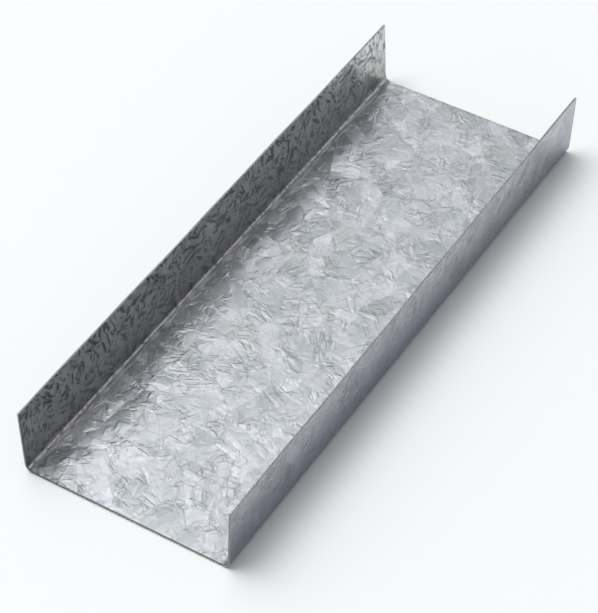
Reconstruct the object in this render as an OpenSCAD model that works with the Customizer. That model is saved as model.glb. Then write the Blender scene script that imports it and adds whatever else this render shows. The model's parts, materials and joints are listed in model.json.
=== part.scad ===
// Light gauge steel track: one strip of galvanised sheet, roll-formed into an open channel.
// The web lies flat and the flanges stand up from it, each through one rounded bend.
// Origin: centre of the web's underside. +X across the web, +Y along the length, +Z up to the open side.

/* [Section] */
// Width of the stud that fits between the flanges, where they leave the web
stud_width = 92.1; // [41:0.1:305]
// Height of the flanges, from the underside of the web to their tips
flange_height = 31.75; // [20:0.05:80]
// Angle by which each flange leans outwards, after it springs back from the rolls
flange_splay = 2.35; // [-5:0.05:10]

/* [Sheet] */
// Thickness of the coated sheet
sheet_thickness = 0.88; // [0.45:0.01:3]
// Radius on the inside of each bend
inside_bend_radius = 3.1; // [0.5:0.1:8]

/* [Length] */
// Length of the cut piece
track_length = 275; // [50:1:6000]

/* [Hidden] */

$fn = 96;
zinc_grey = [0.72, 0.74, 0.75];

outside_bend_radius = inside_bend_radius + sheet_thickness;
web_width = stud_width + 2 * sheet_thickness;
// Half of the flat part of the web, which ends where the bends begin
web_flat_half = web_width / 2 - outside_bend_radius;
// Straight part of a flange along its slope, so that its inner edge ends at the flange height
flange_run =
    (flange_height - outside_bend_radius + inside_bend_radius * sin(flange_splay)) / cos(flange_splay);

// Flat strip of the web, one half of it
module web_half() {
    square([web_flat_half, sheet_thickness]);
}

// Sector that a bend fills: from straight down round to the direction that the flange faces
module bend_sector() {
    reach = 2 * outside_bend_radius;
    polygon([[0, 0], [0, -reach], [reach, -reach], [reach, -reach * tan(flange_splay)]]);
}

// Bend about its own centre, with the sheet's thickness between its two arcs
module bend() {
    intersection() {
        difference() {
            circle(r = outside_bend_radius);
            circle(r = inside_bend_radius);
        }
        bend_sector();
    }
}

// Straight strip of a flange, placed from the centre of its bend
module flange() {
    rotate(-flange_splay)
        translate([inside_bend_radius, 0])
            square([sheet_thickness, flange_run]);
}

// Half of the section, from the middle of the web to the tip of one flange
module half_section() {
    web_half();
    translate([web_flat_half, outside_bend_radius]) {
        bend();
        flange();
    }
}

// The whole channel, both halves of its section carried along the length and cut off square
module track() {
    color(zinc_grey)
        rotate([90, 0, 0])
            linear_extrude(height = track_length, center = true)
                for (side = [0, 1])
                    mirror([side, 0])
                        half_section();
}

track();
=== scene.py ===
"""Light gauge steel track: its galvanised sheet, and a plain studio to see it in.

The file is laid out as an add-on and run as a script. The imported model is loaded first, and the sizes
of the sheet are read from it.
"""

import json
import math
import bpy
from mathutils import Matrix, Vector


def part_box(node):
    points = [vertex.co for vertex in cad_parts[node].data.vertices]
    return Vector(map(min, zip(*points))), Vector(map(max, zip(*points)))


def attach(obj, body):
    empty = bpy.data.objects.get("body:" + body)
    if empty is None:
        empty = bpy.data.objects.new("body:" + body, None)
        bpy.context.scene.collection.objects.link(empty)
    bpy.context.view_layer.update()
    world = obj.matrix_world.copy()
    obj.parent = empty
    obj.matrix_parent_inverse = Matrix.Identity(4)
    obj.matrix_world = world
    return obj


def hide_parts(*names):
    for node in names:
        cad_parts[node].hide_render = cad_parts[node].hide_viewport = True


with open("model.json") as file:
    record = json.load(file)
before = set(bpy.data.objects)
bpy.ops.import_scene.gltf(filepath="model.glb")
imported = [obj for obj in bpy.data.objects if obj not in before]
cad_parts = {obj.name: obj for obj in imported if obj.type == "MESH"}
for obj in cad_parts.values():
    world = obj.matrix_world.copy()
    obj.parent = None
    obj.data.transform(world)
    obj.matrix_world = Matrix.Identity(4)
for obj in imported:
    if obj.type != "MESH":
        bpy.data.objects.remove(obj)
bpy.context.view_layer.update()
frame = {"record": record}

from types import SimpleNamespace

import bpy
import numpy as np
from bpy.props import FloatProperty, FloatVectorProperty, IntProperty, PointerProperty
from mathutils import Matrix, Vector

bl_info = {
    "name": "Galvanised Steel Track",
    "version": (1, 0, 0),
    "blender": (4, 5, 0),
    "location": "3D View > Sidebar > Track",
    "description": "Makes the spangled sheet of a light gauge steel track, and a studio around it",
    "category": "Add Mesh",
}

NODE = "track"
BODY = "root"
MM = 0.001

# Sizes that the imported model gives
LOW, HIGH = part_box(NODE)
TRACK_LENGTH = HIGH.y - LOW.y
FLANGE_HEIGHT = HIGH.z - LOW.z
MOUNTS = {mount["name"]: mount for mount in frame["record"]["mounts"]}
SHEET_THICKNESS = MOUNTS["stud_seat"]["pos_m"][2] - MOUNTS["web_underside"]["pos_m"][2]
FLANGE_SPLAY = math.asin(-MOUNTS["right_flange_face"]["axis"][2])

# The photograph's frame, in pixels
PHOTO_WIDTH = 598
PHOTO_HEIGHT = 613

# Faces across half of the section, and round the rounding of a cut edge
WEB_FACES = 26
BEND_FACES = 16
FLANGE_FACES = 18
EDGE_FACES = 5

# Waves along the flanges' free edges: share of the height, waves in the length, phase, and the phase that
# the left flange adds
EDGE_WAVES = ((1.0, 2.3, 1.1, 2.0), (0.6, 5.1, 0.4, -1.3))

# Waves in the web: share of the height, waves in the length, phase, and radians across half of the web
WEB_WAVES = ((1.0, 1.7, 0.6, 3.0), (0.5, 4.3, 2.0, 0.0))

# Layers of crystal plates: size as a share of the largest plates', and number of directions
PLATE_LAYERS = ((1.0, 3), (0.55, 3), (0.32, 1))

# The layer of wide plates: turn, and length and width as shares of the largest plates' length
WIDE_PLATES = (0.4, 0.9, 0.7)

# Angle between the directions that crystals grow in, the number of the needles' directions, the turn of
# the first of them and that of the patches
CRYSTAL_TURN = math.pi / 3
NEEDLE_DIRECTIONS = 3
NEEDLE_TURN = 0.3
PATCH_TURN = 0.7

# How far each layer of cells is moved from the one before, and the numbers that the layers of patches and
# needles start from, past those of the plates
LAYER_SHIFT = (0.137, 0.071)
PATCH_LAYER = 20
NEEDLE_LAYER = 30

# Width of a patch as a share of its length, and difference in lift over which two crystals blend
PATCH_WIDTH = 0.6
LIFT_BLEND = 0.005

# Random numbers above which a cell is a needle, and distance inside the cell's edge where it is full
DARK_NEEDLE = 0.86
LIGHT_NEEDLE = 0.9
NEEDLE_FADE = 0.25

# Sizes of the noise that bends grains, gathers busy clusters, clouds the zinc, moves barbs, picks the
# crystals that have them and breaks the painted highlight inside each bend
BEND_NOISE = 9 * MM
CLUSTER_NOISE = 10 * MM
CLOUD_NOISE = 24 * MM
DRIFT_NOISE = 4 * MM
BARB_NOISE = 6 * MM
CREASE_HIGHLIGHT_NOISE = 3 * MM

# How far the noise bends a grain, and how far it moves the barbs' phase, in radians
GRAIN_BEND = 1 * MM
BARB_DRIFT = 5.0

# Length and width of the blades and strokes on the crystals, and of the streaks of painted shade along the
# bends
BLADE = (6 * MM, 1.3 * MM)
STROKE = (8 * MM, 2.1 * MM)
BEND_SHADE_STREAK = (9 * MM, 1.1 * MM)

# Values between which each pattern sets in
BUSY_RANGE = (0.42, 0.56)
BARB_RANGE = (0.42, 0.58)
BARB_GLOSS_RANGE = (0.45, 0.65)
SEAM_RANGE = (0.015, 0.05)
BLADE_RANGE = (0.34, 0.46)
STROKE_RANGE = (0.43, 0.46)
BEND_SHADE_RANGE = (0.4, 0.6)
CREASE_HIGHLIGHT_RANGE = (0.38, 0.52)

# Darkness of the lines, of the strokes, which are painted dark reflections on the flanges' inner faces, and
# of the painted shade in the bends, from none to the full colour of the seams
SEAM_DEPTH = 0.26
NEEDLE_DEPTH = 0.28
BLADE_DEPTH = 0.05
WEB_STROKE_DEPTH = 0.1
CALM_INSIDE_REFLECTION_DEPTH = 0.85
BEND_SHADE_DEPTH = (0.3, 0.8)

# Shares of the seams' darkness and of the relief that stay on the calm plates
CALM_SEAM = 0.35
CALM_RELIEF = 0.5

# What each thing adds to the tone, which runs from dark zinc to light zinc
CRYSTAL_TONE = 0.4
CLOUD_TONE = 0.3
PATCH_TONE = 0.45
# The flanges' inner faces are painted lighter, painted light for the dim room that they mirror
INSIDE_PAINTED_LIGHT = 0.3
NEEDLE_TONE = 0.3

# The zones of the sheet: softness of the bends' limits, and height up a flange at which its fade ends
ZONE_SOFTNESS = 1 * MM
FADE_HEIGHT = 26 * MM

# The side of a point is 1 on the inner skin and -1 on the outer one, and between those on a sheared face
SKIN_SIDE = 0.999

# Part of the dark rim along one end of each side that is dark and rough at full strength
FULL_DARK_RIM = 0.3

# The painted highlight inside each bend, a pale line for the bend's shine: its place round the bend, the
# distances at which it starts to fade and ends, what its broken parts keep, and how metallic it is
CREASE_HIGHLIGHT_PLACE = 0.58
CREASE_HIGHLIGHT_FADE = (0.25 * MM, 0.75 * MM)
CREASE_HIGHLIGHT_LEAST = 0.15
CREASE_HIGHLIGHT_METALLIC = 0.1

# Painted shade on the flanges' outer faces, darker at the foot and towards the front: its share at the tip
# and at the foot, and at the back end and at the front
TIP_PAINTED_SHADE = 0.385
FOOT_PAINTED_SHADE = 1.0
BACK_PAINTED_SHADE = 0.8
FRONT_PAINTED_SHADE = 1.3

# Strength of the painted shade above the bends on the flanges' inner faces, and of the painted shade on the
# sheared faces at the flanges' ends
CREASE_SHADE_SHARE = 0.6
FLANGE_END_PAINTED_SHADE = 0.5

# Roughness that the dullest crystals add, and roughness in the bends and on the cut edges
CRYSTAL_ROUGHNESS = 0.12
BEND_ROUGHNESS = 0.42
CUT_ROUGHNESS = 0.55

# The lift that counts as level, how high blades stand against barbs, and the height of both and of the
# needles in the crystals' own measure
MEAN_LIFT = 0.5
BLADE_RELIEF = 1.5
FINE_RELIEF = 0.010
NEEDLE_RELIEF = 0.06

# Boldness of the relief at the front end and towards the back, and where along the length it gets even
FRONT_RELIEF = 1.38
BACK_RELIEF = 0.95
EVEN_RELIEF_FROM = TRACK_LENGTH / 10

# The floor's half side and roughness, and how far the camera sees
FLOOR_REACH = 6.0
FLOOR_ROUGHNESS = 0.9
CAMERA_RANGE = 50.0

# Soft lamps: azimuth and elevation in degrees, and side and brightness as shares of the stage's own
LAMPS = {
    "top_lamp": (-60, 71, 0.6, 5.3),
    "left_lamp": (-80, 40, 1.0, 0.3),
}


class SheetSettings(bpy.types.PropertyGroup):
    """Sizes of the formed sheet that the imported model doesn't give."""

    inside_radius: FloatProperty(
        name="Inside bend radius",
        description="Radius on the inside of each bend",
        default=3.1 * MM,
        unit="LENGTH",
    )
    edge_rounding: FloatProperty(
        name="Edge rounding",
        description="Radius that shearing leaves along every cut edge",
        default=0.12 * MM,
        unit="LENGTH",
    )
    web_wave: FloatProperty(
        name="Web wave",
        description="Height of the shallow waves that rolling leaves in the web",
        default=0.05 * MM,
        unit="LENGTH",
    )
    flange_wave: FloatProperty(
        name="Flange wave",
        description="Height of the shallow waves along the flanges' free edges",
        default=0.12 * MM,
        unit="LENGTH",
    )
    rows: IntProperty(
        name="Rows",
        description="Rows of faces along the length",
        default=170,
        min=8,
    )


class FinishSettings(bpy.types.PropertyGroup):
    """Colours of the zinc and the steel, and sizes of the zinc crystals."""

    zinc_light: FloatVectorProperty(
        name="Light zinc",
        description="Colour of the brightest crystals",
        subtype="COLOR",
        default=(0.67, 0.685, 0.704),
    )
    zinc_dark: FloatVectorProperty(
        name="Dark zinc",
        description="Colour of the dullest crystals",
        subtype="COLOR",
        default=(0.425, 0.443, 0.464),
    )
    # This colour is also that of the painted shade in the bends and at the flanges' ends, of the strokes
    # painted as dark reflections on the flanges' inner faces, and of a dark rim along one end of each side
    lines_and_painted_shade: FloatVectorProperty(
        name="Crystal seams",
        description="Colour of the seams between crystals, and of the strokes on them",
        subtype="COLOR",
        default=(0.16, 0.163, 0.168),
    )
    # The crease highlight colour is a painted highlight: the pale line inside each bend stands for its shine
    crease_highlight_colour: FloatVectorProperty(
        name="Rubbed zinc",
        description="Colour of the line that the forming rolls rub inside each bend",
        subtype="COLOR",
        default=(0.88, 0.82, 0.79),
    )
    # Colour of the painted shade on the flanges' outer faces, bluish like the shaded floor that they mirror
    outer_face_shade: FloatVectorProperty(
        name="Rolled zinc",
        description="Colour of the dulling that the forming rolls leave on the flanges' outer faces",
        subtype="COLOR",
        default=(0.29, 0.302, 0.363),
    )
    # Colour of the painted shade above each bend on the flange's inner face, darkest at the bend
    crease_shade: FloatVectorProperty(
        name="Film",
        description="Colour of the film that forming leaves above each bend, on the flange's inner face",
        subtype="COLOR",
        default=(0.35, 0.335, 0.315),
    )
    steel_edge: FloatVectorProperty(
        name="Cut steel",
        description="Colour of the bare steel along the cut edges",
        subtype="COLOR",
        default=(0.75, 0.743, 0.735),
    )
    tint: FloatProperty(
        name="Tint",
        description="How far the colour of one patch of crystals departs from another's",
        default=0.014,
    )
    roughness: FloatProperty(
        name="Roughness",
        description="Roughness of the smoothest crystals",
        default=0.26,
        min=0.0,
        max=1.0,
        subtype="FACTOR",
    )
    grain_size: FloatProperty(
        name="Grain size",
        description="Mean width of a grain, in which the crystals grow in three directions",
        default=26 * MM,
        unit="LENGTH",
    )
    patch_size: FloatProperty(
        name="Patch size",
        description="Mean length of a patch of crystals that share a tone",
        default=12 * MM,
        unit="LENGTH",
    )
    plate_length: FloatProperty(
        name="Plate length",
        description="Mean length of the largest crystal plates",
        default=18 * MM,
        unit="LENGTH",
    )
    plate_width: FloatProperty(
        name="Plate width",
        description="Mean width of the largest crystal plates",
        default=6.5 * MM,
        unit="LENGTH",
    )
    needle_length: FloatProperty(
        name="Needle length",
        description="Mean length of the needles that cross the plates",
        default=9 * MM,
        unit="LENGTH",
    )
    needle_width: FloatProperty(
        name="Needle width",
        description="Mean width of the needles that cross the plates",
        default=1.9 * MM,
        unit="LENGTH",
    )
    barb_pitch: FloatProperty(
        name="Barb pitch",
        description="Distance between the fine barbs on a feathered crystal",
        default=1.5 * MM,
        unit="LENGTH",
    )
    # A dark, rough rim along one end of each side, at the inner skin's front end and the outer skin's back
    # end
    dark_end_rim_width: FloatProperty(
        name="Rolled-over rim",
        description="Width of the dull rim that the shear leaves along one end of each side",
        default=0.7 * MM,
        unit="LENGTH",
    )
    relief: FloatProperty(
        name="Relief",
        description="Height of a crystal's ridge above its seams, for a crystal as high as it is wide",
        default=0.64 * MM,
        unit="LENGTH",
    )
    bevel: FloatProperty(
        name="Bevel",
        description="Width of the slope at a crystal's edge, as a share of the crystal's width",
        default=0.12,
    )
    roof: FloatProperty(
        name="Roof",
        description="Slope of a crystal's top, as a share of the slope at its edge",
        default=0.06,
    )
    heap: FloatProperty(
        name="Heap",
        description="How much some crystals stand above others, as a share of a crystal's width",
        default=0.5,
    )
    lean: FloatProperty(
        name="Lean",
        description="How far a crystal's top leans from the sheet",
        default=0.09,
    )


class StageSettings(bpy.types.PropertyGroup):
    """Floor, light and camera."""

    floor_colour: FloatVectorProperty(
        name="Floor",
        description="Colour of the floor",
        subtype="COLOR",
        default=(0.95, 0.95, 0.95),
    )
    room_colour: FloatVectorProperty(
        name="Room",
        description="Colour of the room around the lamps",
        subtype="COLOR",
        default=(0.965, 0.983, 1.0),
    )
    world_level: FloatProperty(
        name="Room light",
        description="Brightness of the room overhead, away from its glows",
        default=0.17,
    )
    horizon_level: FloatProperty(
        name="Horizon light",
        description="Brightness that the pale floor adds to the room's walls at its own height",
        default=0.60,
    )
    glow_level: FloatProperty(
        name="Glow",
        description="Brightness that the middle of the soft glow adds to the room",
        default=1.90,
    )
    glow_azimuth: FloatProperty(
        name="Glow azimuth",
        description="Angle of the glow round the track, from straight in front",
        default=math.radians(-125),
        unit="ROTATION",
    )
    glow_elevation: FloatProperty(
        name="Glow elevation",
        description="Angle of the glow above the floor",
        default=math.radians(62),
        unit="ROTATION",
    )
    faint_level: FloatProperty(
        name="Faint glow",
        description="Brightness that the middle of the faint glow adds to the room",
        default=0.21,
    )
    faint_azimuth: FloatProperty(
        name="Faint glow azimuth",
        description="Angle of the faint glow round the track, from straight in front",
        default=math.radians(144),
        unit="ROTATION",
    )
    faint_elevation: FloatProperty(
        name="Faint glow elevation",
        description="Angle of the faint glow above the floor",
        default=math.radians(45),
        unit="ROTATION",
    )
    front_level: FloatProperty(
        name="Front glow",
        description="Brightness that the middle of the glow in front adds to the room",
        default=0.36,
    )
    front_azimuth: FloatProperty(
        name="Front glow azimuth",
        description="Angle of the glow in front round the track, from straight in front",
        default=math.radians(20),
        unit="ROTATION",
    )
    front_elevation: FloatProperty(
        name="Front glow elevation",
        description="Angle of the glow in front above the floor",
        default=math.radians(32),
        unit="ROTATION",
    )
    glow_reach: FloatProperty(
        name="Glow reach",
        description="Angle from the middle of each glow at which it ends",
        default=math.radians(43),
        unit="ROTATION",
    )
    lamp_level: FloatProperty(
        name="Lamp brightness",
        description="Brightness of the face of each soft lamp",
        default=0.88,
    )
    lamp_size: FloatProperty(
        name="Lamp size",
        description="Side of each square soft lamp",
        default=4.8,
        unit="LENGTH",
    )
    lamp_distance: FloatProperty(
        name="Lamp distance",
        description="Distance from the track to each lamp",
        default=5.2,
        unit="LENGTH",
    )
    camera_azimuth: FloatProperty(
        name="Camera azimuth",
        description="Angle of the camera round the track, from straight in front",
        default=math.radians(31.613),
        unit="ROTATION",
    )
    camera_elevation: FloatProperty(
        name="Camera elevation",
        description="Angle of the camera above the floor",
        default=math.radians(45.068),
        unit="ROTATION",
    )
    camera_distance: FloatProperty(
        name="Camera distance",
        description="Distance from the camera to the point that it looks at",
        default=996.23 * MM,
        unit="LENGTH",
    )
    camera_target: FloatVectorProperty(
        name="Camera target",
        description="Point that the camera looks at",
        default=(3.982 * MM, -18.655 * MM, 15.0 * MM),
        subtype="TRANSLATION",
        unit="LENGTH",
    )
    focal_pixels: FloatProperty(
        name="Focal length in pixels",
        description="Focal length of the photograph, in its own pixels",
        default=2470.55,
    )


class Nodes:
    """Adds nodes to a tree, and links or sets whatever is given as an input."""

    def __init__(self, tree):
        self.tree = tree

    def add(self, kind, inputs=None, **settings):
        node = self.tree.nodes.new(kind)
        for name, value in settings.items():
            setattr(node, name, value)
        for name, value in (inputs or {}).items():
            self.put(node.inputs[name], value)
        return node

    def put(self, socket, value):
        if isinstance(value, bpy.types.NodeSocket):
            self.tree.links.new(value, socket)
        else:
            socket.default_value = value

    def math(self, operation, *values, clamp=False):
        inputs = dict(enumerate(values))
        return self.add("ShaderNodeMath", inputs, operation=operation, use_clamp=clamp).outputs[0]

    def vector(self, operation, *values, scale=None):
        inputs = dict(enumerate(values))
        if scale is not None:
            inputs["Scale"] = scale
        node = self.add("ShaderNodeVectorMath", inputs, operation=operation)
        return node.outputs["Value" if operation == "DOT_PRODUCT" else "Vector"]

    def mix(self, factor, a, b):
        """Mixes two numbers."""
        return self.add("ShaderNodeMix", {0: factor, 2: a, 3: b}, data_type="FLOAT").outputs[0]

    def mix_colour(self, factor, a, b):
        """Mixes two colours."""
        return self.add("ShaderNodeMix", {0: factor, 6: a, 7: b}, data_type="RGBA").outputs[2]

    def channels(self, colour):
        """The three channels of a colour. Those of a cell's colour are random numbers."""
        return self.add("ShaderNodeSeparateColor", {"Color": colour}).outputs

    def centred(self, colour):
        """A random colour as a vector whose mean is zero."""
        return self.vector("SUBTRACT", colour, (0.5, 0.5, 0.5))

    def ramp(self, value, low, high, to_low=0.0, to_high=1.0):
        """Smooth step from one value to another as the input goes from low to high."""
        inputs = {0: value, 1: low, 2: high, 3: to_low, 4: to_high}
        return self.add("ShaderNodeMapRange", inputs, interpolation_type="SMOOTHSTEP").outputs[0]

    def noise(self, vector, size, detail=2.0):
        inputs = {"Vector": vector, "Scale": 1.0 / size, "Detail": detail}
        return self.add("ShaderNodeTexNoise", inputs, noise_dimensions="2D")

    def turn(self, vector, angle):
        """The vector turned in the plane of the sheet."""
        inputs = {"Vector": vector, "Angle": angle}
        return self.add("ShaderNodeVectorRotate", inputs, rotation_type="Z_AXIS").outputs[0]

    def streaks(self, vector, length, width):
        """Noise stretched along the vector's X."""
        stretched_place = self.vector("MULTIPLY", vector, (1 / length, 1 / width, 1.0))
        return self.noise(stretched_place, 1.0).outputs[0]

    def cells(self, vector, feature="F1"):
        inputs = {"Vector": vector, "Scale": 1.0, "Randomness": 1.0}
        return self.add("ShaderNodeTexVoronoi", inputs, voronoi_dimensions="2D", feature=feature)


def rgba(colour):
    return (*colour, 1.0)


# The formed sheet


def spread(stops, steps):
    """Places along a line: each stretch between two stops is cut into that many equal steps."""
    parts = [np.linspace(a, b, n, endpoint=False) for a, b, n in zip(stops, stops[1:], steps)]
    return np.concatenate([*parts, stops[-1:]])


def section_line(place, sheet):
    """Middle line of the section and its inward normal, at signed distances from the web's centre.

    The distance runs along the sheet. Up to the flat's half it is the web's own x. Then it turns through
    the bend, an arc of the middle radius about the bend's centre, to a right angle less the splay. From
    there it runs straight up the flange. The left half mirrors the right one.
    """
    stop = section_stops(sheet)
    distance = np.abs(place)
    angle = np.clip((distance - stop.flat) / stop.radius, 0.0, stop.turn)
    along_web = np.minimum(distance, stop.flat)
    up_flange = np.maximum(distance - stop.bend_end, 0.0)
    side = np.where(place < 0, -1.0, 1.0)
    x = along_web + stop.radius * np.sin(angle) + up_flange * math.cos(stop.turn)
    z = SHEET_THICKNESS / 2 + stop.radius * (1 - np.cos(angle)) + up_flange * math.sin(stop.turn)
    line = np.stack([side * x, z], axis=-1)
    normal = np.stack([-side * np.sin(angle), np.cos(angle)], axis=-1)
    return line, normal


def section_stops(sheet):
    """Stops along the middle line, as distances from the web's centre: the end of the flat, the end of the
    bend and the flange's tip. With them come the bend's angle and its middle radius."""
    outside = sheet.inside_radius + SHEET_THICKNESS
    rise = FLANGE_HEIGHT - outside + sheet.inside_radius * math.sin(FLANGE_SPLAY)
    run = rise / math.cos(FLANGE_SPLAY)
    flat = HIGH.x - outside * math.cos(FLANGE_SPLAY) - run * math.sin(FLANGE_SPLAY)
    turn = math.pi / 2 - FLANGE_SPLAY
    radius = sheet.inside_radius + SHEET_THICKNESS / 2
    bend_end = flat + radius * turn
    return SimpleNamespace(flat=flat, bend_end=bend_end, tip=bend_end + run, turn=turn, radius=radius)


def edge_places(sheet):
    """Distances from a cut edge at which its rounding is drawn, up to where the rounding ends."""
    angle = np.linspace(0, math.pi / 2, EDGE_FACES + 1)
    return sheet.edge_rounding * (1 - np.cos(angle))


def sheet_places(sheet):
    """Places of the grid's lines across the section and along the length, closer in bends and at edges."""
    stop = section_stops(sheet)
    edge = edge_places(sheet)
    stops = [0.0, stop.flat, stop.bend_end, stop.tip - edge[-1]]
    half = spread(stops, [WEB_FACES, BEND_FACES, FLANGE_FACES])
    half = np.concatenate([half[:-1], stop.tip - edge[::-1]])
    across = np.concatenate([-half[:0:-1], half])
    end = TRACK_LENGTH / 2
    middle = np.linspace(edge[-1] - end, end - edge[-1], sheet.rows)
    along = np.concatenate([edge[:-1] - end, middle, end - edge[-2::-1]])
    return across, along


def sheet_wave(across, along, sheet):
    """Shallow waves of the rolled sheet: sums of sines along the length. The flanges' grow with the square
    of the height up the flange. The web's fall off evenly from its centre, and each is one plus a sine
    times a cosine across the web, so that the web only rises and rests on its two sides."""
    stop = section_stops(sheet)
    reach_up = np.clip((np.abs(across) - stop.bend_end) / (stop.tip - stop.bend_end), 0.0, 1.0)
    in_web = np.clip(1 - np.abs(across) / stop.flat, 0.0, 1.0)
    turns = 2 * math.pi * along / TRACK_LENGTH
    left = np.where(across < 0, 1.0, 0.0)
    edge_waves = sum(
        share * np.sin(waves * turns + phase + left_phase * left)
        for share, waves, phase, left_phase in EDGE_WAVES
    )
    web_waves = sum(
        share * (1 + np.sin(waves * turns + phase) * np.cos(over * across / stop.flat))
        for share, waves, phase, over in WEB_WAVES
    )
    return sheet.flange_wave * reach_up**2 * edge_waves + sheet.web_wave * in_web * web_waves


def grid_faces(rows, columns):
    """Corner numbers of the quads of a grid whose points are numbered row by row."""
    first = (np.arange(rows - 1)[:, None] * columns + np.arange(columns - 1)).ravel()
    return np.stack([first, first + columns, first + columns + 1, first + 1], axis=-1)


def grid_rim(rows, columns):
    """Numbers of the points round the outside of such a grid, once round."""
    number = np.arange(rows * columns).reshape(rows, columns)
    return np.concatenate([number[:-1, 0], number[-1, :-1], number[:0:-1, -1], number[0, :0:-1]])


def sheet_arrays(sheet):
    """Points, faces and flat places of the formed sheet.

    Two skins are worked out on one grid, across the section and along the length. Each point is the
    section's middle line, moved by the wave, plus or minus half the thickness along the normal. Near a
    cut edge the half thickness shrinks on a circle of the rounding's radius. A strip of quads round the
    grid's rim, the sheared face, closes the two skins.
    """
    across, along = sheet_places(sheet)
    u, v = np.meshgrid(across, along, indexing="ij")
    line, normal = section_line(u, sheet)
    wave = sheet_wave(u, v, sheet)
    rounding = sheet.edge_rounding
    to_tip = np.abs(across).max() - np.abs(u)
    to_end = TRACK_LENGTH / 2 - np.abs(v)
    past_tip = np.clip(rounding - to_tip, 0.0, rounding)
    past_end = np.clip(rounding - to_end, 0.0, rounding)
    bulge = np.sqrt(np.clip(rounding**2 - past_tip**2 - past_end**2, 0.0, None))
    half = SHEET_THICKNESS / 2 - rounding + bulge
    points, places = [], []
    for side in (1.0, -1.0):
        move = (wave + side * half)[..., None] * normal
        at = line + move
        points.append(np.stack([at[..., 0], v, at[..., 1]], axis=-1).reshape(-1, 3))
        places.append(np.stack([u, v, np.full_like(u, side)], axis=-1).reshape(-1, 3))
    inner = grid_faces(*u.shape)
    outer = inner[:, ::-1] + u.size
    rim = grid_rim(*u.shape)
    following = np.roll(rim, -1)
    strip = np.stack([rim, following, following + u.size, rim + u.size], axis=-1)
    faces = np.concatenate([inner, outer, strip])
    return np.concatenate(points), faces, np.concatenate(places)


def make_mesh(name, points, faces):
    """A smooth mesh of quads from whole arrays."""
    mesh = bpy.data.meshes.new(name)
    mesh.vertices.add(len(points))
    mesh.vertices.foreach_set("co", points.astype(np.float32).ravel())
    mesh.loops.add(faces.size)
    mesh.loops.foreach_set("vertex_index", faces.astype(np.int32).ravel())
    mesh.polygons.add(len(faces))
    mesh.polygons.foreach_set("loop_start", np.arange(0, faces.size, faces.shape[1], dtype=np.int32))
    mesh.update(calc_edges=True)
    mesh.polygons.foreach_set("use_smooth", np.ones(len(faces), dtype=bool))
    mesh.validate()
    return mesh


# The zinc finish


def crystal_layers(finish):
    """Turn, length and width of each layer of crystals: long plates of three sizes in directions that are a
    sixth of a turn apart, and one layer of wide plates that leaves smooth patches. The first turn of each
    size, in radians, is the size's own number, so that the sizes don't line up."""
    layers = []
    for size, count in PLATE_LAYERS:
        for step in range(count):
            turn = step * CRYSTAL_TURN + size
            layers.append((turn, finish.plate_length * size, finish.plate_width * size))
    turn, length, width = WIDE_PLATES
    layers.append((turn, finish.plate_length * length, finish.plate_length * width))
    return layers


def stretched(nodes, vector, number, turn, length, width):
    """The vector measured in cells of that length and width, turned and moved for the layer's number."""
    shift_x, shift_y = LAYER_SHIFT
    mapping = {
        "Vector": vector,
        "Location": (shift_x * (number + 1), shift_y * (number + 1), 0.0),
        "Rotation": (0.0, 0.0, turn),
        "Scale": (length, width, 1.0),
    }
    return nodes.add("ShaderNodeMapping", mapping, vector_type="TEXTURE").outputs[0]


def grains(nodes, flat, finish):
    """Grains of the zinc. Returns the places on the sheet, slightly bent and turned by an angle that is
    random for each grain, and that angle."""
    wobble = nodes.centred(nodes.noise(flat, BEND_NOISE, detail=3.0).outputs["Color"])
    bent = nodes.vector("MULTIPLY_ADD", wobble, (GRAIN_BEND,) * 3, flat)
    grain = nodes.cells(nodes.vector("SCALE", bent, scale=1.0 / finish.grain_size)).outputs["Color"]
    angle = nodes.math("MULTIPLY", nodes.channels(grain)[0], 2 * math.pi)
    return nodes.turn(bent, angle), angle


def crystals(nodes, turned, finish):
    """Zinc crystals as a heap of long low plates that grow through each other.

    Each layer is a field of stretched cells. A crystal's lift is a random height for its cell plus a
    bevel at the cell's edge and a slight roof, and at each point the crystal with the highest lift shows.
    Returns the lift, the gap to the next crystal below, a random colour of the crystal and its turn.
    """
    lift, below, colour, heading = None, 0.0, None, None
    for number, (turn, length, width) in enumerate(crystal_layers(finish)):
        place = stretched(nodes, turned, number, turn, length, width)
        this_colour = nodes.cells(place).outputs["Color"]
        edge = nodes.cells(place, "DISTANCE_TO_EDGE").outputs["Distance"]
        bevel = nodes.ramp(edge, 0.0, 2 * finish.bevel, 0.0, finish.bevel)
        slope = nodes.math("MULTIPLY_ADD", edge, finish.roof, bevel)
        this_lift = nodes.math("MULTIPLY_ADD", nodes.channels(this_colour)[0], finish.heap, slope)
        if lift is None:
            lift, colour, heading = this_lift, this_colour, turn
            continue
        above = nodes.ramp(nodes.math("SUBTRACT", this_lift, lift), -LIFT_BLEND, LIFT_BLEND)
        below = nodes.math("MAXIMUM", below, nodes.math("MINIMUM", this_lift, lift))
        lift = nodes.math("MAXIMUM", this_lift, lift)
        colour = nodes.mix_colour(above, colour, this_colour)
        heading = nodes.mix(above, heading, turn)
    return lift, nodes.math("SUBTRACT", lift, below), colour, heading


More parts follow.
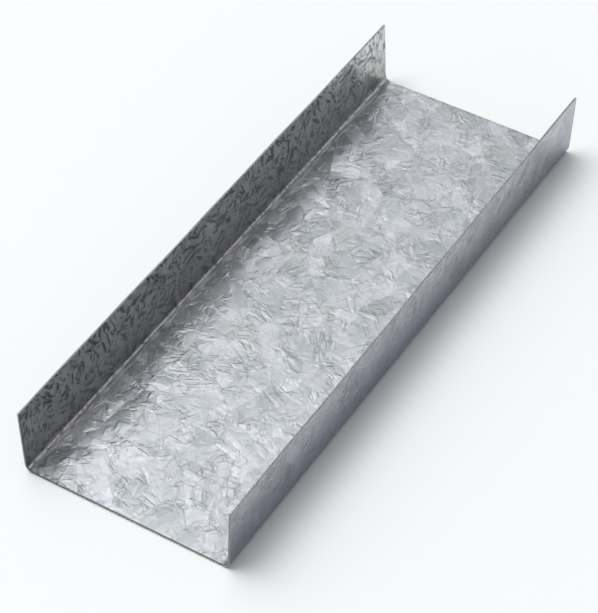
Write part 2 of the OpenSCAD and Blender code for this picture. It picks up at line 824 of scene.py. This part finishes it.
def needles(nodes, turned, finish):
    """Straight needles that cross the plates in three directions: the cells with a high random number in
    fields of long thin cells. Returns the shares of a point in dark needles and in light ones."""
    dark, light = 0.0, 0.0
    for number in range(NEEDLE_DIRECTIONS):
        turn = NEEDLE_TURN + number * CRYSTAL_TURN
        layer = NEEDLE_LAYER + number
        place = stretched(nodes, turned, layer, turn, finish.needle_length, finish.needle_width)
        random = nodes.channels(nodes.cells(place).outputs["Color"])
        edge = nodes.cells(place, "DISTANCE_TO_EDGE").outputs["Distance"]
        within = nodes.ramp(edge, 0.0, NEEDLE_FADE)
        is_dark = nodes.math("GREATER_THAN", random[0], DARK_NEEDLE)
        is_light = nodes.math("GREATER_THAN", random[1], LIGHT_NEEDLE)
        dark = nodes.math("MAXIMUM", dark, nodes.math("MULTIPLY", is_dark, within))
        light = nodes.math("MAXIMUM", light, nodes.math("MULTIPLY", is_light, within))
    return dark, light


def fine_lines(nodes, flat, heading, gloss, finish):
    """Lines along each crystal: fine blades and broader strokes, which are noise stretched along it, and on
    some crystals barbs, a sine of the distance across the crystal whose phase drifts."""
    along_crystal = nodes.turn(flat, heading)
    blades = nodes.streaks(along_crystal, *BLADE)
    strokes = nodes.streaks(along_crystal, *STROKE)
    drift = nodes.math("MULTIPLY", nodes.noise(flat, DRIFT_NOISE, detail=1.0).outputs[0], BARB_DRIFT)
    crystal_y = nodes.add("ShaderNodeSeparateXYZ", {"Vector": along_crystal}).outputs["Y"]
    barbs = nodes.math("SINE", nodes.math("MULTIPLY_ADD", crystal_y, 2 * math.pi / finish.barb_pitch, drift))
    barbed = nodes.ramp(nodes.noise(flat, BARB_NOISE).outputs[0], *BARB_RANGE)
    barbed = nodes.math("MULTIPLY", barbed, nodes.ramp(gloss, *BARB_GLOSS_RANGE))
    return blades, strokes, nodes.math("MULTIPLY", barbs, barbed)


def crystal_fields(nodes, flat, finish):
    """All that the crystals give to the colour, the roughness and the relief, by name.

    Needles, blades and barbs keep to the busy clusters, and between those the plates are calm.
    """
    turned, angle = grains(nodes, flat, finish)
    lift, gap, colour, turn = crystals(nodes, turned, finish)
    patch_width = PATCH_WIDTH * finish.patch_size
    patch_place = stretched(nodes, turned, PATCH_LAYER, PATCH_TURN, finish.patch_size, patch_width)
    _, shade, gloss = nodes.channels(colour)
    heading = nodes.math("SUBTRACT", angle, turn)
    blades, strokes, barbs = fine_lines(nodes, flat, heading, gloss, finish)
    busy = nodes.ramp(nodes.noise(flat, CLUSTER_NOISE).outputs[0], *BUSY_RANGE)
    dark_needles, light_needles = needles(nodes, turned, finish)
    return SimpleNamespace(
        lift=lift,
        gap=gap,
        colour=colour,
        shade=shade,
        gloss=gloss,
        patch=nodes.cells(patch_place).outputs["Color"],
        busy=busy,
        blades=blades,
        strokes=strokes,
        barbs=barbs,
        dark_needles=nodes.math("MULTIPLY", dark_needles, busy),
        light_needles=nodes.math("MULTIPLY", light_needles, busy),
    )


def sheet_zones(nodes, axes, finish, sheet):
    """Shares of a point in the zones of the sheet, by name, from its place on the flat sheet: the flanges'
    inner and outer faces, the bends, the fade up each flange from its bend, the fade from the front end, the
    painted shade above the bends on the inner faces, the sheared faces, those at the flanges' ends, and a
    dark rim along one end of each side."""
    x, y, side = axes.outputs
    stop = section_stops(sheet)
    distance = nodes.math("ABSOLUTE", x)
    facing_in = nodes.math("GREATER_THAN", side, 0.0)
    flange = nodes.ramp(distance, stop.flat, stop.bend_end)
    inside = nodes.math("MULTIPLY", flange, facing_in)
    into_bend = nodes.ramp(distance, stop.flat - ZONE_SOFTNESS, stop.flat + ZONE_SOFTNESS)
    past_bend = nodes.ramp(distance, stop.bend_end - ZONE_SOFTNESS, stop.bend_end + ZONE_SOFTNESS)
    fade = nodes.ramp(distance, stop.bend_end, stop.bend_end + FADE_HEIGHT, 1.0, 0.0)
    # Painted shade above each bend on the inner face, fading up the flange
    crease_shade = nodes.math("MULTIPLY", nodes.math("MULTIPLY", past_bend, fade), facing_in)
    to_end = nodes.math("MULTIPLY_ADD", y, side, TRACK_LENGTH / 2)
    sheared = nodes.math("LESS_THAN", nodes.math("ABSOLUTE", side), SKIN_SIDE)
    last = TRACK_LENGTH / 2 - sheet.edge_rounding / 2
    at_end = nodes.math("GREATER_THAN", nodes.math("ABSOLUTE", y), last)
    return SimpleNamespace(
        inside=inside,
        outside=nodes.math("SUBTRACT", flange, inside),
        bend=nodes.math("SUBTRACT", into_bend, past_bend),
        fade=fade,
        front=nodes.ramp(y, -TRACK_LENGTH / 2, TRACK_LENGTH / 2, 1.0, 0.0),
        crease_shade=crease_shade,
        sheared=sheared,
        flange_ends=nodes.math("MULTIPLY", nodes.math("MULTIPLY", sheared, at_end), flange),
        dark_end_rim=nodes.ramp(to_end, FULL_DARK_RIM * finish.dark_end_rim_width, finish.dark_end_rim_width, 1.0, 0.0),
    )


def painted_crease_highlight(nodes, flat, axes, sheet):
    """Share of a point in the painted highlight inside each bend, a broken pale line part of the way round
    it, on the inner skin."""
    x, _, side = axes.outputs
    stop = section_stops(sheet)
    mark = stop.flat + CREASE_HIGHLIGHT_PLACE * (stop.bend_end - stop.flat)
    away = nodes.math("ABSOLUTE", nodes.math("SUBTRACT", nodes.math("ABSOLUTE", x), mark))
    line = nodes.ramp(away, *CREASE_HIGHLIGHT_FADE, 1.0, 0.0)
    broken = nodes.ramp(nodes.noise(flat, CREASE_HIGHLIGHT_NOISE, detail=3.0).outputs[0], *CREASE_HIGHLIGHT_RANGE, CREASE_HIGHLIGHT_LEAST, 1.0)
    line = nodes.math("MULTIPLY", line, broken)
    return nodes.math("MULTIPLY", line, nodes.math("GREATER_THAN", side, 0.0))


def zinc_darkness(nodes, flat, field, zone):
    """How dark the lines on the zinc are: seams between crystals, dark needles and blades, strokes, which on
    the flanges' inner faces are painted dark reflections, and painted shade streaked along the bends. The
    darkest one at a point counts."""
    seam = nodes.ramp(field.gap, *SEAM_RANGE, SEAM_DEPTH, 0.0)
    seam = nodes.math("MULTIPLY", seam, nodes.mix(field.busy, CALM_SEAM, 1.0))
    needle = nodes.math("MULTIPLY", field.dark_needles, NEEDLE_DEPTH)
    blade = nodes.math("MULTIPLY", nodes.ramp(field.blades, *BLADE_RANGE, BLADE_DEPTH, 0.0), field.busy)
    # On the flanges' inner faces the strokes are painted dark reflections
    inside_reflection_depth = nodes.mix(field.busy, CALM_INSIDE_REFLECTION_DEPTH, 1.0)
    stroke_and_reflection_depth = nodes.mix(zone.inside, WEB_STROKE_DEPTH, inside_reflection_depth)
    stroke = nodes.math("MULTIPLY", nodes.ramp(field.strokes, *STROKE_RANGE, 1.0, 0.0), stroke_and_reflection_depth)
    # Painted shade in the bends, inside and out, broken into streaks along them
    drawn = nodes.streaks(nodes.turn(flat, math.pi / 2), *BEND_SHADE_STREAK)
    darkest = nodes.math("MULTIPLY", zone.bend, nodes.ramp(drawn, *BEND_SHADE_RANGE, *BEND_SHADE_DEPTH))
    for line in (seam, needle, blade, stroke):
        darkest = nodes.math("MAXIMUM", darkest, line)
    return darkest


def zinc_colour(nodes, flat, field, zone, crease_highlight, finish):
    """Colour of the sheet: a tone and a slight tint for each patch and crystal, the dark lines, painted
    shade on the flanges and in the bends, a painted highlight inside each bend, painted light on the
    flanges' inner faces, a dark rim along one end of each side, and the cut edges."""
    clouds = nodes.noise(flat, CLOUD_NOISE, detail=3.0).outputs[0]
    tone = nodes.math("MULTIPLY", clouds, CLOUD_TONE)
    tone = nodes.math("MULTIPLY_ADD", field.shade, CRYSTAL_TONE, tone)
    tone = nodes.math("MULTIPLY_ADD", nodes.channels(field.patch)[0], PATCH_TONE, tone, clamp=True)
    # The flanges' inner faces are painted lighter, painted light for the dim room that they mirror
    tone = nodes.math("MULTIPLY_ADD", zone.inside, INSIDE_PAINTED_LIGHT, tone)
    tone = nodes.math("MULTIPLY_ADD", field.light_needles, NEEDLE_TONE, tone, clamp=True)
    colour = nodes.mix_colour(tone, rgba(finish.zinc_dark), rgba(finish.zinc_light))
    colour = nodes.vector("MULTIPLY_ADD", nodes.centred(field.patch), (finish.tint,) * 3, colour)
    # Painted shade on the flanges' outer faces, darker towards the foot and towards the front end
    dull = nodes.math("MULTIPLY", zone.outside, nodes.mix(zone.fade, TIP_PAINTED_SHADE, FOOT_PAINTED_SHADE))
    dull = nodes.math("MULTIPLY", dull, nodes.mix(zone.front, BACK_PAINTED_SHADE, FRONT_PAINTED_SHADE), clamp=True)
    coats = (
        (zinc_darkness(nodes, flat, field, zone), finish.lines_and_painted_shade),
        # painted shade on the flanges' outer faces
        (dull, finish.outer_face_shade),
        # painted shade above the bends on the inner faces
        (nodes.math("MULTIPLY", zone.crease_shade, CREASE_SHADE_SHARE), finish.crease_shade),
        # painted highlight inside each bend
        (crease_highlight, finish.crease_highlight_colour),
        # a dark rim along one end of each side
        (zone.dark_end_rim, finish.lines_and_painted_shade),
        (zone.sheared, finish.steel_edge),
        # painted shade on the sheared faces at the flanges' ends
        (nodes.math("MULTIPLY", zone.flange_ends, FLANGE_END_PAINTED_SHADE), finish.lines_and_painted_shade),
    )
    for share, coat in coats:
        colour = nodes.mix_colour(share, colour, rgba(coat))
    return colour


def zinc_roughness(nodes, field, zone, finish):
    """Roughness of the sheet: one for each crystal, more in the bends and on the cut edges."""
    rough = nodes.math("MULTIPLY_ADD", field.gloss, CRYSTAL_ROUGHNESS, finish.roughness)
    rough = nodes.mix(zone.bend, rough, BEND_ROUGHNESS)
    return nodes.mix(nodes.math("MAXIMUM", zone.sheared, zone.dark_end_rim), rough, CUT_ROUGHNESS)


def zinc_normal(nodes, axes, field, finish):
    """Normal of the sheet: each crystal and patch leans its own way, and the relief is the crystals' lift,
    lower on the calm plates, with blades, barbs and needles on it. It is bolder towards the front end."""
    relief = nodes.math("SUBTRACT", field.lift, MEAN_LIFT)
    relief = nodes.math("MULTIPLY", relief, nodes.mix(field.busy, CALM_RELIEF, 1.0))
    fine = nodes.math("MULTIPLY_ADD", field.blades, BLADE_RELIEF, field.barbs)
    fine = nodes.math("MULTIPLY", fine, field.busy)
    relief = nodes.math("MULTIPLY_ADD", fine, FINE_RELIEF, relief)
    needled = nodes.math("SUBTRACT", field.light_needles, field.dark_needles)
    relief = nodes.math("MULTIPLY_ADD", needled, NEEDLE_RELIEF, relief)
    along = axes.outputs["Y"]
    bold = nodes.ramp(along, -TRACK_LENGTH / 2, EVEN_RELIEF_FROM, FRONT_RELIEF, BACK_RELIEF)
    lean = nodes.vector("ADD", nodes.centred(field.colour), nodes.centred(field.patch))
    normal = nodes.add("ShaderNodeNewGeometry").outputs["Normal"]
    leaning = nodes.vector("MULTIPLY_ADD", lean, (finish.lean,) * 3, normal)
    bump = {
        "Strength": 1.0,
        "Distance": finish.relief,
        "Height": nodes.math("MULTIPLY", relief, bold),
        "Normal": nodes.vector("NORMALIZE", leaning),
    }
    return nodes.add("ShaderNodeBump", bump).outputs[0]


def galvanised_finish(finish, sheet):
    """Spangled zinc: metal whose colour, roughness and relief follow the crystals, duller in the bends, with
    painted shade and light on the flanges and in the bends, a painted highlight inside each bend, and bare
    steel on the sheared faces."""
    material = bpy.data.materials.new("galvanised_zinc")
    material.use_nodes = True
    tree = material.node_tree
    tree.nodes.clear()
    nodes = Nodes(tree)
    place = nodes.add("ShaderNodeAttribute", attribute_name="flat_sheet").outputs["Vector"]
    axes = nodes.add("ShaderNodeSeparateXYZ", {"Vector": place})
    # Z is the side, 1 or -1, so the two skins take their patterns from places two metres apart
    across = nodes.math("ADD", axes.outputs["X"], axes.outputs["Z"])
    flat = nodes.add("ShaderNodeCombineXYZ", {"X": across, "Y": axes.outputs["Y"]}).outputs[0]
    field = crystal_fields(nodes, flat, finish)
    zone = sheet_zones(nodes, axes, finish, sheet)
    crease_highlight = painted_crease_highlight(nodes, flat, axes, sheet)
    surface = {
        "Base Color": zinc_colour(nodes, flat, field, zone, crease_highlight, finish),
        # The painted highlight inside each bend is hardly metallic, so that its pale colour shows
        "Metallic": nodes.mix(crease_highlight, 1.0, CREASE_HIGHLIGHT_METALLIC),
        "Roughness": zinc_roughness(nodes, field, zone, finish),
        "Normal": zinc_normal(nodes, axes, field, finish),
    }
    shader = nodes.add("ShaderNodeBsdfPrincipled", surface)
    nodes.add("ShaderNodeOutputMaterial", {"Surface": shader.outputs[0]})
    return material


class TRACK_OT_sheet(bpy.types.Operator):
    """Makes the formed sheet with its zinc finish, in place of the plain solid"""

    bl_idname = "track.make_sheet"
    bl_label = "Make sheet"

    def execute(self, context):
        settings = context.scene.track_sheet
        points, faces, places = sheet_arrays(settings)
        mesh = make_mesh("track_sheet", points, faces)
        mesh.attributes.new("flat_sheet", "FLOAT_VECTOR", "POINT").data.foreach_set("vector", places.ravel())
        mesh.materials.append(galvanised_finish(context.scene.track_finish, settings))
        sheet = bpy.data.objects.new("track_sheet", mesh)
        context.scene.collection.objects.link(sheet)
        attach(sheet, BODY)
        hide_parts(NODE)
        return {"FINISHED"}


# The studio


def plain_material(name, colour, roughness):
    material = bpy.data.materials.new(name)
    material.use_nodes = True
    shader = material.node_tree.nodes["Principled BSDF"]
    shader.inputs["Base Color"].default_value = rgba(colour)
    shader.inputs["Roughness"].default_value = roughness
    shader.inputs["Specular IOR Level"].default_value = 0.0
    return material


def towards(azimuth, elevation):
    """Direction from the track, azimuth counted from straight in front (-Y) towards +X."""
    flat = math.cos(elevation)
    return Vector((math.sin(azimuth) * flat, -math.cos(azimuth) * flat, math.sin(elevation)))


def looking(place, target):
    """Turns an object that looks along its own -Z to look from one point at another, its Y upwards."""
    turn = (target - place).to_track_quat("-Z", "Y").to_matrix().to_4x4()
    return Matrix.Translation(place) @ turn


def add_lamp(context, stage, name, azimuth, elevation, size, level):
    """A square soft lamp, its angles in degrees, and its side and the brightness of its face given as shares
    of the stage's own. It isn't mirrored in the sheet, which shows the room alone."""
    lamp = bpy.data.lights.new(name, "AREA")
    lamp.size = stage.lamp_size * size
    lamp.energy = math.pi * lamp.size**2 * stage.lamp_level * level
    holder = bpy.data.objects.new(name, lamp)
    direction = towards(math.radians(azimuth), math.radians(elevation))
    holder.matrix_world = looking(direction * stage.lamp_distance, Vector())
    holder.visible_glossy = False
    context.scene.collection.objects.link(holder)


def add_floor(context, stage):
    """A flat square, one grid cell, at the height that the track rests on."""
    corner = np.array([-FLOOR_REACH, FLOOR_REACH])
    x, y = np.meshgrid(corner, corner, indexing="ij")
    points = np.stack([x, y, np.full_like(x, LOW.z)], axis=-1).reshape(-1, 3)
    floor = bpy.data.objects.new("floor", make_mesh("floor", points, grid_faces(2, 2)))
    floor.data.materials.append(plain_material("floor", stage.floor_colour, FLOOR_ROUGHNESS))
    context.scene.collection.objects.link(floor)


def add_camera(context, stage):
    """The camera at the photograph's angle. Its longer side is the picture's height."""
    camera = bpy.data.cameras.new("camera")
    camera.lens = stage.focal_pixels / max(PHOTO_WIDTH, PHOTO_HEIGHT) * camera.sensor_width
    camera.clip_end = CAMERA_RANGE
    target = Vector(stage.camera_target)
    place = target + towards(stage.camera_azimuth, stage.camera_elevation) * stage.camera_distance
    holder = bpy.data.objects.new("camera", camera)
    holder.matrix_world = looking(place, target)
    context.scene.collection.objects.link(holder)
    context.scene.camera = holder


def light_the_room(tree, stage):
    """A plain room, brighter towards the floor, with a broad soft glow high behind its left and two fainter
    ones, behind its right and in front.

    What the pale floor adds is (1 - height) squared times its level at the horizon, where the height is the
    direction's own Z and nothing below the horizon. Each glow falls off evenly with the angle from its
    middle, to nothing at its reach.
    """
    nodes = Nodes(tree)
    direction = nodes.add("ShaderNodeTexCoord").outputs["Generated"]
    height = nodes.add("ShaderNodeSeparateXYZ", {"Vector": direction}).outputs["Z"]
    below_zenith = nodes.math("SUBTRACT", 1.0, nodes.math("MAXIMUM", height, 0.0))
    horizon = nodes.math("MULTIPLY", below_zenith, below_zenith)
    level = nodes.math("MULTIPLY_ADD", horizon, stage.horizon_level, stage.world_level)
    glows = (
        (stage.glow_azimuth, stage.glow_elevation, stage.glow_level),
        (stage.faint_azimuth, stage.faint_elevation, stage.faint_level),
        (stage.front_azimuth, stage.front_elevation, stage.front_level),
    )
    for azimuth, elevation, strength in glows:
        middle = towards(azimuth, elevation)
        angle = nodes.math("ARCCOSINE", nodes.vector("DOT_PRODUCT", direction, middle))
        glow = nodes.math("MULTIPLY_ADD", angle, -1 / stage.glow_reach, 1.0, clamp=True)
        level = nodes.math("MULTIPLY_ADD", glow, strength, level)
    background = tree.nodes["Background"]
    background.inputs["Color"].default_value = rgba(stage.room_colour)
    nodes.put(background.inputs["Strength"], level)


class TRACK_OT_stage(bpy.types.Operator):
    """Makes the floor, the soft lamps, the room light and the camera"""

    bl_idname = "track.make_stage"
    bl_label = "Make stage"

    def execute(self, context):
        stage = context.scene.track_stage
        add_floor(context, stage)
        for name, values in LAMPS.items():
            add_lamp(context, stage, name, *values)
        world = bpy.data.worlds.new("room")
        world.use_nodes = True
        light_the_room(world.node_tree, stage)
        context.scene.world = world
        add_camera(context, stage)
        context.scene.view_settings.view_transform = "Standard"
        return {"FINISHED"}


class TRACK_PT_panel(bpy.types.Panel):
    """Lists the settings and the steps that make the track and its studio"""

    bl_idname = "TRACK_PT_panel"
    bl_label = "Steel Track"
    bl_space_type = "VIEW_3D"
    bl_region_type = "UI"
    bl_category = "Track"

    def draw(self, context):
        for group in (context.scene.track_sheet, context.scene.track_finish, context.scene.track_stage):
            for name in group.bl_rna.properties.keys():
                if name not in ("rna_type", "name"):
                    self.layout.prop(group, name)
        self.layout.operator(TRACK_OT_sheet.bl_idname)
        self.layout.operator(TRACK_OT_stage.bl_idname)


CLASSES = (SheetSettings, FinishSettings, StageSettings, TRACK_OT_sheet, TRACK_OT_stage, TRACK_PT_panel)


def register():
    for each in CLASSES:
        bpy.utils.register_class(each)
    bpy.types.Scene.track_sheet = PointerProperty(type=SheetSettings)
    bpy.types.Scene.track_finish = PointerProperty(type=FinishSettings)
    bpy.types.Scene.track_stage = PointerProperty(type=StageSettings)


def unregister():
    del bpy.types.Scene.track_stage
    del bpy.types.Scene.track_finish
    del bpy.types.Scene.track_sheet
    for each in reversed(CLASSES):
        bpy.utils.unregister_class(each)


def main():
    """Makes the sheet and the stage."""
    register()
    bpy.ops.track.make_sheet()
    bpy.ops.track.make_stage()


if __name__ == "__main__":
    main()
